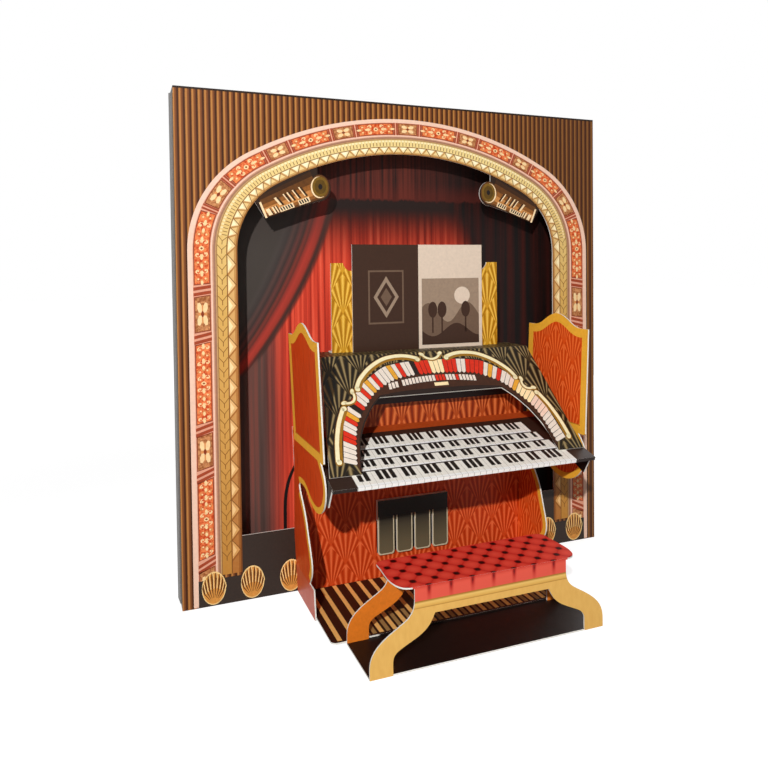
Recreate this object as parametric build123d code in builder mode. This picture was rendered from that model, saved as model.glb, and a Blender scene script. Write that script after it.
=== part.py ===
"""Pop-up greeting card of a theatre organ on a stage, in folded and glued card.

A shallow box holds a stage front with an arched opening over a curtain backdrop. In front of it
stand an organ console with its key desk, stop rail and music rest, a pedalboard and a bench.
X runs across the card, Y to the back and Z up. The origin is under the middle of the whole card.
"""

import os
from math import atan2, cos, hypot, radians, sin, sqrt, tan

from build123d import *

# Driving dimensions, in millimetres and degrees
card = 0.45  # thickness of the printed card
glue_gap = 0.05  # room between two sheets that are glued together
tab_bevel = 2.0  # slanted ends of the glue tabs
stage_depth = 57.5  # front of the bench to the front of the stage panel

# Stage panel and the box behind it
panel_width = 158.0
panel_height = 165.0
box_depth = 10.0  # front of the stage panel to the front of the backdrop
flap_setback = 1.2  # backdrop's side flaps stop short of the front fold

# Arched opening of the stage panel: a crown arc and two haunch arcs over straight sides
opening_half = 60.0
sill_height = 21.3
crown_cover = 17.5  # card above the top of the opening
crown_radius = 98.0
haunch_radius = 25.0

# Spotlights, cut as tongues on the arch's inner edge: reach from its middle, drop from its crown
lamp_head_reach = 33.0
lamp_head_drop = 12.7
lamp_head_radius = 4.6
lamp_neck_drop = 5.0
lamp_tail_reach = 51.2
lamp_tail_drop = 22.5
lamp_root_reach = 55.0
lamp_root_drop = 16.5
lamp_root_cover = 6.0  # how far the tongue's root runs into the panel

# Console cheeks, in distance forward of the stage panel and height up the splayed sheet
cheek_foot_half = 41.8  # outer face of a cheek at the floor, from the middle
cheek_splay = 2.3
cheek_root_height = 20.0  # the rear edge follows the stage panel up to here
plinth_reach = 22.0
plinth_height = 9.6
ankle_reach = 17.0
belly = (21.0, 15.6)
shin = (18.6, 24.0)
neck = (12.8, 34.6)
hook = (15.9, 40.4)
scroll_under = (23.6, 37.8)
scroll_bottom = (31.4, 36.6)
scroll_chin = (39.4, 41.0)
scroll_nose = (41.2, 47.2)
scroll_notch = (37.3, 53.0)
wing_rear = 7.0
wing_front = 41.0
wing_base = 53.4
wing_shoulder = 87.2
wing_shoulder_width = 3.5
wing_peak = 91.6
wing_flank_rise = 0.5  # share of the peak's rise where the top edge is steepest
cheek_tab_width = 7.0
cheek_floor_tab = 19.0  # forward end of the tab under the pedalboard

# Kneeboard, the panel between the cheeks
knee_reach = 3.0  # front face, forward of the stage panel
knee_height = 56.0

# Swell pedals on the kneeboard
swell_count = 4
swell_pitch = 6.85
swell_width = 6.0
swell_low = 9.2
swell_slot_top = 21.0
swell_high = 28.0
swell_stand = 1.6  # how far the pedals stand in front of the kneeboard
swell_corner = 1.0
swell_offset = -1.3

# Pedalboard and bench
pedal_front = 38.0
pedal_corner = 1.6
bench_rear = 38.1  # rear face of the bench, forward of the stage panel
bench_height = 22.5
bench_top_half = 24.0
bench_foot_half = 37.0
bench_foot_height = 2.5
bench_knee = (34.4, 8.6)
bench_hip = (28.0, 12.9)
bench_waist_height = 19.0
leg_foot_half = 30.4
leg_foot_height = 3.4
leg_knee = (27.8, 6.8)
leg_hip = (22.4, 9.4)
leg_top_half = 18.1
leg_top_height = 14.6
seat_half = 28.4
seat_corner = 3.6  # depth of the seat's swept corners
bench_tab = 6.0  # tab of the bench floor under the pedalboard
bench_tab_half = 34.0

# Key desk and fallboard
desk_front = 46.8
desk_front_height = 47.5
desk_tilt = 16.3
hem_depth = 6.0
hem_gap = 0.2
desk_tab_drop = 6.5
desk_tab_front = 45.4
desk_tab_rear = 28.0
fallboard_reach = 15.9
fallboard_half = 36.4
fallboard_tab = 5.5

# Stop rail: sloping front with a horseshoe opening, console roof and console back
roof_height = 80.0
roof_front = 16.4
roof_half = 37.4
rail_foot = 41.6
rail_foot_half = 42.4
horseshoe_drop = 15.7  # top of the opening, down the slope from the roof
horseshoe_top_half = 21.5
horseshoe_mid = (28.4, 24.0)  # half width and drop of the opening's curved side
horseshoe_foot_half = 33.0
back_low = 46.0

# Music rest and song sheet on the roof
rest_reach = 7.5
rest_half = 31.0
rest_height = 109.5
rest_dip = 2.6
rest_ear = 4.2
rest_scoop = 2.2
rest_tab = 3.8
sheet_half = 24.1
sheet_height = 115.6
sheet_fold = 2.0  # angle of each leaf

# Values worked out from the driving dimensions
panel_y = (stage_depth - box_depth - card) / 2
panel_half = panel_width / 2
splay_slope = tan(radians(cheek_splay))
desk_slope = tan(radians(desk_tilt))


def front_plane(reach):
    """Upright plane that faces the viewer, this far in front of the stage panel."""
    return Plane.XZ.offset(reach - panel_y)


def cheek_face(height):
    """X of the right cheek's inner face at a height, less the room for glue."""
    return cheek_foot_half + splay_slope * height - card / cos(radians(cheek_splay)) - glue_gap


def desk_top(reach):
    """Height of the key desk's upper face at a distance forward of the stage panel."""
    return desk_front_height + (desk_front - reach) * desk_slope


def save(builder, name):
    """Label a finished piece and write its file."""
    builder.part.label = name
    export_step(builder.part, f"parts/{name}.step")


os.makedirs("parts", exist_ok=True)

# Stage panel: front sheet, arched opening, two spotlight tongues and side walls folded back
crown_height = panel_height - crown_cover
crown_centre = crown_height - crown_radius
haunch_centre_x = opening_half - haunch_radius
spring_height = crown_centre + sqrt((crown_radius - haunch_radius) ** 2 - haunch_centre_x**2)
haunch_turn = atan2(haunch_centre_x, spring_height - crown_centre)
joint_x = crown_radius * sin(haunch_turn)
joint_z = crown_centre + crown_radius * cos(haunch_turn)
haunch_mid_turn = (haunch_turn + radians(90)) / 2
haunch_mid_x = haunch_centre_x + haunch_radius * sin(haunch_mid_turn)
haunch_mid_z = spring_height + haunch_radius * cos(haunch_mid_turn)
lamp_head_height = crown_height - lamp_head_drop
lamp_neck_height = crown_height - lamp_neck_drop
lamp_tail_height = crown_height - lamp_tail_drop
lamp_root_height = crown_height - lamp_root_drop

with BuildPart() as proscenium:
    with BuildSketch(front_plane(0)):
        with Locations((0, panel_height / 2)):
            Rectangle(panel_width, panel_height)
        with BuildLine():
            Line((-opening_half, spring_height), (-opening_half, sill_height))
            Line((-opening_half, sill_height), (opening_half, sill_height))
            Line((opening_half, sill_height), (opening_half, spring_height))
            ThreePointArc(
                (opening_half, spring_height), (haunch_mid_x, haunch_mid_z), (joint_x, joint_z)
            )
            ThreePointArc((joint_x, joint_z), (0, crown_height), (-joint_x, joint_z))
            ThreePointArc(
                (-joint_x, joint_z), (-haunch_mid_x, haunch_mid_z), (-opening_half, spring_height)
            )
        make_face(mode=Mode.SUBTRACT)
        with BuildLine():
            lamp_top = (lamp_head_reach, lamp_neck_height + lamp_root_cover)
            neck_foot = (lamp_head_reach, lamp_head_height + lamp_head_radius)
            head_end = (lamp_head_reach - lamp_head_radius, lamp_head_height)
            head_low = (lamp_head_reach, lamp_head_height - lamp_head_radius)
            tail_low = (lamp_tail_reach, lamp_tail_height)
            root = (lamp_root_reach, lamp_root_height)
            root_end = (lamp_root_reach + lamp_root_cover, lamp_root_height)
            Line(lamp_top, neck_foot)
            ThreePointArc(neck_foot, head_end, head_low)
            Polyline(head_low, tail_low, root, root_end)
            Line(root_end, lamp_top)
        lamp = make_face()
        mirror(lamp, about=Plane.YZ)
    extrude(amount=-card)
    with BuildSketch(Plane.YZ.offset(panel_half)):
        with Locations((panel_y + (box_depth - glue_gap) / 2, panel_height / 2)):
            Rectangle(box_depth - glue_gap, panel_height)
    extrude(amount=-card)
    mirror(about=Plane.YZ)
save(proscenium, "proscenium")

# Backdrop: curtain sheet at the back of the box, with bevelled flaps glued over the side walls
flap_face = panel_half + glue_gap
flap_front = panel_y + flap_setback
backdrop_back = panel_y + box_depth + card

with BuildPart() as backdrop:
    with BuildSketch(front_plane(-box_depth)):
        with Locations((0, panel_height / 2)):
            Rectangle(2 * (flap_face + card), panel_height)
    extrude(amount=-card)
    with BuildSketch(Plane.YZ.offset(flap_face)):
        with BuildLine():
            Polyline(
                (backdrop_back, 0),
                (backdrop_back, panel_height),
                (flap_front, panel_height - tab_bevel),
                (flap_front, tab_bevel),
                close=True,
            )
        make_face()
    extrude(amount=card)
    mirror(about=Plane.YZ)
save(backdrop, "backdrop")

# Console cheeks: scrolled side sheets with their wings, splayed a little, with two glue tabs each
splay = radians(cheek_splay)
cheek_plane = Plane(
    origin=(cheek_foot_half, panel_y, 0), x_dir=(0, -1, 0), z_dir=(-cos(splay), 0, sin(splay))
)
wing_middle = (wing_rear + wing_front) / 2
flank = (wing_front - wing_rear) / 4 - wing_shoulder_width / 2
flank_height = wing_shoulder + (wing_peak - wing_shoulder) * wing_flank_rise
tab_low = 2 * card + tab_bevel
tab_high = cheek_root_height - tab_bevel

with BuildPart() as right_cheek:
    with BuildSketch(cheek_plane):
        with BuildLine():
            Polyline(
                (wing_rear, wing_shoulder),
                (wing_rear, wing_base),
                (0, cheek_root_height),
                (0, 0),
                (plinth_reach, 0),
                (plinth_reach, plinth_height),
                (ankle_reach, plinth_height),
            )
            Spline((ankle_reach, plinth_height), belly, shin, neck, hook, tangents=((1, 1), (1, 0)))
            Spline(
                hook, scroll_under, scroll_bottom, scroll_chin, scroll_nose, scroll_notch,
                tangents=((1, 0), (-1, 1)),
            )
            Polyline(
                scroll_notch,
                (wing_front, wing_base),
                (wing_front, wing_shoulder),
                (wing_front - wing_shoulder_width, wing_shoulder),
            )
            Spline(
                (wing_front - wing_shoulder_width, wing_shoulder),
                (wing_middle + flank, flank_height),
                (wing_middle, wing_peak),
                (wing_middle - flank, flank_height),
                (wing_rear + wing_shoulder_width, wing_shoulder),
                tangents=((-1, 0), (-1, 0)),
            )
            Line((wing_rear + wing_shoulder_width, wing_shoulder), (wing_rear, wing_shoulder))
        make_face()
    extrude(amount=card)
    with BuildSketch(front_plane(card)):
        with BuildLine():
            Polyline(
                (cheek_foot_half + splay_slope * tab_low - card / 2, tab_low - tab_bevel),
                (cheek_foot_half + splay_slope * tab_high - card / 2, tab_high + tab_bevel),
                (cheek_foot_half - cheek_tab_width, tab_high),
                (cheek_foot_half - cheek_tab_width, tab_low),
                close=True,
            )
        make_face()
    extrude(amount=-card)
    with BuildSketch(Plane.XY):
        with BuildLine():
            Polyline(
                (cheek_foot_half - card / 2, panel_y - tab_bevel),
                (cheek_foot_half - card / 2, panel_y - cheek_floor_tab),
                (cheek_foot_half - cheek_tab_width, panel_y - cheek_floor_tab + tab_bevel),
                (cheek_foot_half - cheek_tab_width, panel_y - 2 * tab_bevel),
                close=True,
            )
        make_face()
    extrude(amount=card)
save(right_cheek, "right_cheek")

with BuildPart() as left_cheek:
    add(mirror(right_cheek.part, about=Plane.YZ, mode=Mode.PRIVATE))
save(left_cheek, "left_cheek")

# Kneeboard: upright sheet between the cheeks, with side tabs folded back along them
knee_low = 2 * card
knee_tab_end = card + glue_gap

with BuildPart() as kneeboard:
    with BuildSketch(front_plane(knee_reach)):
        with BuildLine():
            Polyline(
                (-cheek_face(knee_low), knee_low),
                (cheek_face(knee_low), knee_low),
                (cheek_face(knee_height), knee_height),
                (-cheek_face(knee_height), knee_height),
                close=True,
            )
        make_face()
    extrude(amount=-card)
    with BuildSketch(front_plane(knee_reach)):
        with BuildLine():
            Polyline(
                (cheek_face(tab_low), tab_low),
                (cheek_face(tab_high), tab_high),
                (cheek_face(tab_high) - card, tab_high),
                (cheek_face(tab_low) - card, tab_low),
                close=True,
            )
        make_face()
    extrude(amount=knee_tab_end - knee_reach)
    mirror(about=Plane.YZ)
save(kneeboard, "kneeboard")

# Swell pedals: one sheet with a row of tongues, standing off the kneeboard on folded edges
swell_reach = knee_reach + swell_stand
swell_row = (swell_count - 1) * swell_pitch + swell_width
swell_slot = swell_pitch - swell_width

with BuildPart() as swell_pedals:
    with BuildSketch(front_plane(swell_reach)):
        with Locations((swell_offset, (swell_low + swell_high) / 2)):
            Rectangle(swell_row, swell_high - swell_low)
        with Locations((swell_offset, (swell_low + swell_slot_top) / 2)):
            with GridLocations(swell_pitch, 1, swell_count - 1, 1):
                Rectangle(swell_slot, swell_slot_top - swell_low, mode=Mode.SUBTRACT)
        fillet(vertices().group_by(Axis.Y)[0], swell_corner)
    extrude(amount=-card)
    with BuildSketch(front_plane(swell_reach)):
        with Locations((swell_offset, swell_high - card / 2)):
            Rectangle(swell_row, card)
        with Locations((swell_offset, (swell_slot_top + swell_high) / 2)):
            with GridLocations(swell_row - card, 1, 2, 1):
                Rectangle(card, swell_high - swell_slot_top)
    extrude(amount=glue_gap - swell_stand)
save(swell_pedals, "swell_pedals")

# Pedalboard: flat sheet on the cheeks' floor tabs and the bench's tab
pedal_half = cheek_face(0)

with BuildPart() as pedalboard:
    with BuildSketch(Plane.XY.offset(card)):
        with BuildLine():
            Polyline(
                (-pedal_half, panel_y - pedal_front),
                (pedal_half, panel_y - pedal_front),
                (pedal_half, panel_y - knee_tab_end),
                (-pedal_half, panel_y - knee_tab_end),
                close=True,
            )
        make_face()
        fillet(vertices().group_by(Axis.Y)[0], pedal_corner)
    extrude(amount=card)
save(pedalboard, "pedalboard")

# Bench: floor, front, seat and back folded from one strip and glued into a loop
bench_front_y = panel_y - stage_depth
bench_rear_y = panel_y - bench_rear
bench_depth = stage_depth - bench_rear
bench_middle_y = (bench_front_y + bench_rear_y) / 2

with BuildPart() as bench:
    with BuildSketch(front_plane(stage_depth)) as bench_outline:
        with BuildLine():
            Line((0, 0), (bench_foot_half, 0))
            Line((bench_foot_half, 0), (bench_foot_half, bench_foot_height))
            Spline(
                (bench_foot_half, bench_foot_height),
                bench_knee,
                bench_hip,
                (bench_top_half, bench_waist_height),
                tangents=((0, 1), (0, 1)),
            )
            Line((bench_top_half, bench_waist_height), (bench_top_half, bench_height))
            Line((bench_top_half, bench_height), (0, bench_height))
            Line((0, bench_height), (0, 0))
        make_face()
        with BuildLine():
            Line((0, 0), (leg_foot_half, 0))
            Line((leg_foot_half, 0), (leg_foot_half, leg_foot_height))
            Spline(
                (leg_foot_half, leg_foot_height),
                leg_knee,
                leg_hip,
                (leg_top_half, leg_top_height),
                tangents=((0, 1), (-0.4, 1)),
            )
            Line((leg_top_half, leg_top_height), (0, leg_top_height))
            Line((0, leg_top_height), (0, 0))
        make_face(mode=Mode.SUBTRACT)
        mirror(about=Plane.YZ)
    extrude(amount=-card)
    add(bench.part.moved(Location((0, bench_depth - card, 0))))
    with BuildSketch(Plane.XY):
        with Locations((0, bench_middle_y)):
            Rectangle(2 * bench_foot_half, bench_depth)
        with Locations((0, bench_rear_y + bench_tab / 2)):
            Rectangle(2 * bench_tab_half, bench_tab)
    extrude(amount=card)
    with BuildSketch(Plane.XY.offset(bench_height - card)):
        with BuildLine():
            Line((0, bench_front_y), (bench_top_half, bench_front_y))
            Spline(
                (bench_top_half, bench_front_y),
                (seat_half, bench_front_y + seat_corner),
                (seat_half, bench_rear_y - seat_corner),
                (bench_top_half, bench_rear_y),
                tangents=((1, 0), (-1, 0)),
            )
            Line((bench_top_half, bench_rear_y), (0, bench_rear_y))
            Line((0, bench_rear_y), (0, bench_front_y))
        make_face()
        mirror(about=Plane.YZ)
    extrude(amount=card)
save(bench, "bench")

# Key desk: tilted sheet with a hemmed front, side tabs, and the fallboard folded up at its rear
desk_half = cheek_face(desk_front_height - desk_tab_drop)
desk_rear_reach = fallboard_reach - card
desk_run = (desk_front - desk_rear_reach) / cos(radians(desk_tilt))
desk_plane = Plane(
    origin=(0, panel_y - desk_front, desk_front_height),
    x_dir=(1, 0, 0),
    z_dir=(0, -sin(radians(desk_tilt)), cos(radians(desk_tilt))),
)
fallboard_low = desk_top(fallboard_reach) - card
fallboard_high = roof_height - card - glue_gap

with BuildPart() as key_desk:
    with BuildSketch(desk_plane):
        with Locations((0, desk_run / 2)):
            Rectangle(2 * desk_half, desk_run)
    extrude(amount=-card)
    with BuildSketch(desk_plane.offset(-card - hem_gap)):
        with Locations((0, hem_depth / 2)):
            Rectangle(2 * desk_half, hem_depth)
    extrude(amount=-card)
    with BuildSketch(desk_plane):
        with Locations((0, card / 2)):
            Rectangle(2 * desk_half, card)
    extrude(amount=-2 * card - hem_gap)
    with BuildSketch(Plane.YZ.offset(desk_half)):
        with BuildLine():
            tab_front_z = desk_top(desk_tab_front) - card / 2
            tab_rear_z = desk_top(desk_tab_rear) - card / 2
            Polyline(
                (panel_y - desk_tab_front, tab_front_z),
                (panel_y - desk_tab_rear, tab_rear_z),
                (panel_y - desk_tab_rear - tab_bevel, tab_rear_z - desk_tab_drop),
                (panel_y - desk_tab_front + 2 * tab_bevel, tab_front_z - desk_tab_drop),
                close=True,
            )
        make_face()
    extrude(amount=-card)
    mirror(about=Plane.YZ)
    with BuildSketch(front_plane(fallboard_reach)):
        with Locations((0, (fallboard_low + fallboard_high) / 2)):
            Rectangle(2 * fallboard_half, fallboard_high - fallboard_low)
    extrude(amount=-card)
    with BuildSketch(Plane.XY.offset(fallboard_high - card)):
        with Locations((0, panel_y - fallboard_reach + fallboard_tab / 2)):
            Rectangle(2 * fallboard_half, fallboard_tab)
    extrude(amount=card)
save(key_desk, "key_desk")

# Stop rail: sloping front with the horseshoe opening, folded over as the roof and the console back
rail_foot_height = desk_top(rail_foot) + card
rail_rise = roof_height - rail_foot_height
rail_run = rail_foot - roof_front
rail_length = hypot(rail_rise, rail_run)
rail_plane = Plane(
    origin=(0, panel_y - roof_front, roof_height),
    x_dir=(1, 0, 0),
    z_dir=(0, -rail_rise / rail_length, rail_run / rail_length),
)
back_reach = knee_reach + glue_gap
roof_depth = roof_front - back_reach

with BuildPart() as stop_rail:
    with BuildSketch(rail_plane):
        with BuildLine():
            Polyline(
                (-roof_half, 0),
                (roof_half, 0),
                (rail_foot_half, -rail_length),
                (-rail_foot_half, -rail_length),
                close=True,
            )
        make_face()
        with BuildLine():
            right_top = (horseshoe_top_half, -horseshoe_drop)
            left_top = (-horseshoe_top_half, -horseshoe_drop)
            right_foot = (horseshoe_foot_half, -rail_length)
            left_foot = (-horseshoe_foot_half, -rail_length)
            Line(left_top, right_top)
            ThreePointArc(right_top, (horseshoe_mid[0], -horseshoe_mid[1]), right_foot)
            Line(right_foot, left_foot)
            ThreePointArc(left_foot, (-horseshoe_mid[0], -horseshoe_mid[1]), left_top)
        make_face(mode=Mode.SUBTRACT)
    extrude(amount=-card)
    with BuildSketch(Plane.XY.offset(roof_height - card)):
        with Locations((0, panel_y - back_reach - roof_depth / 2)):
            Rectangle(2 * roof_half, roof_depth)
    extrude(amount=card)
    with BuildSketch(front_plane(back_reach)):
        with Locations((0, (back_low + roof_height) / 2)):
            Rectangle(2 * roof_half, roof_height - back_low)
    extrude(amount=card)
save(stop_rail, "stop_rail")

# Music rest: upright sheet on the roof, with raised ears and a foot tab folded back
rest_tab_y = panel_y - rest_reach + rest_tab / 2

with BuildPart() as music_rest:
    with BuildSketch(front_plane(rest_reach)):
        with BuildLine():
            Polyline(
                (0, roof_height),
                (rest_half, roof_height),
                (rest_half, rest_height),
                (rest_half - rest_ear, rest_height),
            )
            ear_end = (rest_half - rest_ear, rest_height)
            dip_start = (rest_half - rest_ear - rest_scoop, rest_height - rest_dip)
            RadiusArc(ear_end, dip_start, hypot(rest_scoop, rest_dip))
            Polyline(dip_start, (0, rest_height - rest_dip), (0, roof_height))
        make_face()
        mirror(about=Plane.YZ)
    extrude(amount=-card)
    with BuildSketch(Plane.XY.offset(roof_height)):
        with Locations((0, rest_tab_y)):
            Rectangle(2 * rest_half, rest_tab)
    extrude(amount=card)
save(music_rest, "music_rest")

# Song sheet: folded leaf that stands open against the music rest
sheet_y = panel_y - rest_reach - glue_gap
leaf_lead = sheet_half * tan(radians(sheet_fold))

with BuildPart() as song_sheet:
    with BuildSketch(Plane.XY.offset(roof_height)):
        with BuildLine():
            Polyline(
                (-sheet_half, sheet_y - leaf_lead),
                (0, sheet_y),
                (sheet_half, sheet_y - leaf_lead),
                (sheet_half, sheet_y - leaf_lead - card),
                (0, sheet_y - card),
                (-sheet_half, sheet_y - leaf_lead - card),
                close=True,
            )
        make_face()
    extrude(amount=sheet_height - roof_height)
save(song_sheet, "song_sheet")
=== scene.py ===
"""Looks of a pop-up greeting card: printed card sheets around a theatre organ on a stage.

The solids keep their shapes, in white-cored card. Each printed face is a thin layer over its sheet,
taken from the solid's own face, and flat printed shapes lie on top of it.
Sizes are in millimetres in the frame of the solids, and Blender's metres come in at the last step.
Colours are red, green and blue from 0 to 255.
"""

import math

import bpy
from mathutils import Matrix, Vector


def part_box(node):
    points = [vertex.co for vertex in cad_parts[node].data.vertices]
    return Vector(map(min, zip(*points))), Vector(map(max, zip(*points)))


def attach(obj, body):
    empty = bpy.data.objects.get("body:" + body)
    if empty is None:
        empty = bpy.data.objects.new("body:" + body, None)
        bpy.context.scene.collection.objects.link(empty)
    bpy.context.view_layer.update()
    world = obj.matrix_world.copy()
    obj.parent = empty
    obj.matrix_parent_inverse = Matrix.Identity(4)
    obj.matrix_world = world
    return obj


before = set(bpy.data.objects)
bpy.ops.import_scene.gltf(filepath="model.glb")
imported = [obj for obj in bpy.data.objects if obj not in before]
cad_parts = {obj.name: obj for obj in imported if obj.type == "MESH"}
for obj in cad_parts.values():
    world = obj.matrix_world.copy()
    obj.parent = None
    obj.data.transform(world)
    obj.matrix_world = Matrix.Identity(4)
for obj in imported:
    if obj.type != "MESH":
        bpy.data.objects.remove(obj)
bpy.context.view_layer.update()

MM = 0.001
LIFT = 0.012  # one layer of ink over the next
SIDES = ((-1, "left"), (1, "right"))


def lowest(node, axis):
    """Lowest place of a solid along an axis."""
    return getattr(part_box(node)[0], axis) / MM


def highest(node, axis):
    """Highest place of a solid along an axis."""
    return getattr(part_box(node)[1], axis) / MM


# Sizes that the solids share with the print; reaches run forward from the stage front
card = 0.45
glue_gap = 0.05
opening_half = 60.0
sill_height = 21.3
crown_cover = 17.5
crown_radius = 98.0
haunch_radius = 25.0
cheek_foot_half = 41.8
cheek_splay = math.radians(2.3)
plinth_height = 9.6
wing_rear = 7.0
wing_front = 41.0
wing_base = 53.4
desk_front = 46.8
desk_front_height = 47.5
desk_tilt = math.radians(16.3)
fallboard_reach = 15.9
roof_front = 16.4
rail_foot = 41.6
horseshoe_drop = 15.7
horseshoe_top_half = 21.5
horseshoe_foot_half = 33.0
sheet_half = 24.1
sheet_fold = math.radians(2.0)
bench_rear = 38.1
swell_pitch = 6.85
swell_middle = -1.3
swell_foot = 9.2
leg_foot_half = 30.4

# Places of the sheets, from the solids
panel_y = lowest("proscenium", "y")
panel_half = highest("proscenium", "x")
panel_height = highest("proscenium", "z")
crown_height = panel_height - crown_cover
crown_centre = crown_height - crown_radius
backdrop_y = highest("backdrop", "y") - card
desk_front_y = panel_y - desk_front
roof_front_y = panel_y - roof_front
roof_height = highest("stop_rail", "z")
bench_front_y = lowest("bench", "y")
bench_height = highest("bench", "z")


def linear(colour):
    """Linear colour with its alpha, for shader sockets."""
    shares = [c / 255 for c in colour]
    return (*(c / 12.92 if c <= 0.04045 else ((c + 0.055) / 1.055) ** 2.4 for c in shares), 1.0)


class Field:
    """A number that varies over a surface, made of shader maths nodes."""

    def __init__(self, tree, socket):
        self.tree = tree
        self.socket = socket

    def run(self, operation, *others):
        """One maths node on this field and on other fields or numbers."""
        node = self.tree.nodes.new("ShaderNodeMath")
        node.operation = operation
        for slot, value in zip(node.inputs, (self, *others)):
            if isinstance(value, Field):
                self.tree.links.new(value.socket, slot)
            else:
                slot.default_value = value
        return Field(self.tree, node.outputs[0])

    def __add__(self, other):
        return self.run("ADD", other)

    def __sub__(self, other):
        return self.run("SUBTRACT", other)

    def __rsub__(self, other):
        return -self + other

    def __mul__(self, other):
        return self.run("MULTIPLY", other)

    def __truediv__(self, other):
        return self.run("DIVIDE", other)

    def __neg__(self):
        return self.run("MULTIPLY", -1.0)

    def __abs__(self):
        return self.run("ABSOLUTE")

    def fraction(self):
        """What is left over whole numbers, from 0 to 1."""
        return self.run("FRACT")

    def smooth(self, low, high):
        """0 at low and 1 at high, whichever is larger, with a soft step between."""
        node = self.tree.nodes.new("ShaderNodeMapRange")
        node.interpolation_type = "SMOOTHSTEP"
        self.tree.links.new(self.socket, node.inputs["Value"])
        node.inputs["From Min"].default_value = low
        node.inputs["From Max"].default_value = high
        return Field(self.tree, node.outputs[0])

    def choose(self, low, high):
        """low where this field is 0 and high where it is 1."""
        return self * (high - low) + low


class Paint:
    """A print on coated card, with its colour made of fields in millimetres."""

    def __init__(self, name, rough=0.42):
        self.material = bpy.data.materials.new(name)
        self.material.use_nodes = True
        self.tree = self.material.node_tree
        self.rough = rough
        self.shader = self.tree.nodes["Principled BSDF"]
        self.colour = None
        spot = self.tree.nodes.new("ShaderNodeTexCoord")
        parts = self.tree.nodes.new("ShaderNodeSeparateXYZ")
        self.tree.links.new(spot.outputs["Object"], parts.inputs[0])
        self.x, self.y, self.z = (Field(self.tree, s) / MM for s in parts.outputs)

    def noise(self, across, deep, high, detail=2.0):
        """Soft random field from 0 to 1, with its grain per millimetre on each axis."""
        spot = self.tree.nodes.new("ShaderNodeCombineXYZ")
        for slot, field in zip(spot.inputs, (self.x * across, self.y * deep, self.z * high)):
            self.tree.links.new(field.socket, slot)
        node = self.tree.nodes.new("ShaderNodeTexNoise")
        node.inputs["Scale"].default_value = 1.0
        node.inputs["Detail"].default_value = detail
        self.tree.links.new(spot.outputs[0], node.inputs["Vector"])
        return Field(self.tree, node.outputs["Fac"])

    def ramp(self, value, *stops):
        """Colour that runs through stops of (share, colour) as the field goes from 0 to 1."""
        node = self.tree.nodes.new("ShaderNodeValToRGB")
        while len(node.color_ramp.elements) < len(stops):
            node.color_ramp.elements.new(0.5)
        for element, (share, colour) in zip(node.color_ramp.elements, stops):
            element.position = share
            element.color = linear(colour)
        self.tree.links.new(value.socket, node.inputs["Fac"])
        return node.outputs["Color"]

    def mix(self, share, first, second):
        """first where the field is 0 and second where it is 1."""
        node = self.tree.nodes.new("ShaderNodeMix")
        node.data_type = "RGBA"
        self.tree.links.new(share.socket, node.inputs[0])
        for slot, colour in zip((node.inputs[6], node.inputs[7]), (first, second)):
            if isinstance(colour, tuple):
                slot.default_value = linear(colour)
            else:
                self.tree.links.new(colour, slot)
        return node.outputs[2]

    def lay(self, share, colour):
        """One more colour over the print so far, where the field is 1."""
        self.colour = self.mix(share, self.colour, colour)

    def finish(self, colour):
        """Colour, uneven gloss and the fine tooth of the card."""
        self.tree.links.new(colour, self.shader.inputs["Base Color"])
        gloss = self.noise(0.35, 0.35, 0.35) * 0.14 + (self.rough - 0.07)
        self.tree.links.new(gloss.socket, self.shader.inputs["Roughness"])
        self.shader.inputs["Specular IOR Level"].default_value = 0.18
        bump = self.tree.nodes.new("ShaderNodeBump")
        bump.inputs["Strength"].default_value = 0.12
        bump.inputs["Distance"].default_value = 0.00004
        self.tree.links.new(self.noise(5.0, 5.0, 5.0, 3.0).socket, bump.inputs["Height"])
        self.tree.links.new(bump.outputs[0], self.shader.inputs["Normal"])
        return self.material


inks = {}


def ink(name, colour, spread=0.12, rough=0.42):
    """Printed colour with the slight unevenness of ink on card."""
    paint = Paint(name, rough)
    dark = tuple(c * (1 - spread) for c in colour)
    light = tuple(min(255, c * (1 + spread)) for c in colour)
    inks[name] = paint.finish(paint.mix(paint.noise(1.1, 1.1, 1.1, 3.0), dark, light))
    return inks[name]


def new_piece(name, points, faces, materials, indices):
    """Mesh piece from points in millimetres, on the only body."""
    mesh = bpy.data.meshes.new(name)
    mesh.from_pydata([Vector(p) * MM for p in points], [], faces)
    for material in materials:
        mesh.materials.append(material)
    mesh.polygons.foreach_set("material_index", indices)
    mesh.update()
    piece = bpy.data.objects.new(name, mesh)
    bpy.context.scene.collection.objects.link(piece)
    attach(piece, "root")
    return piece


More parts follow.
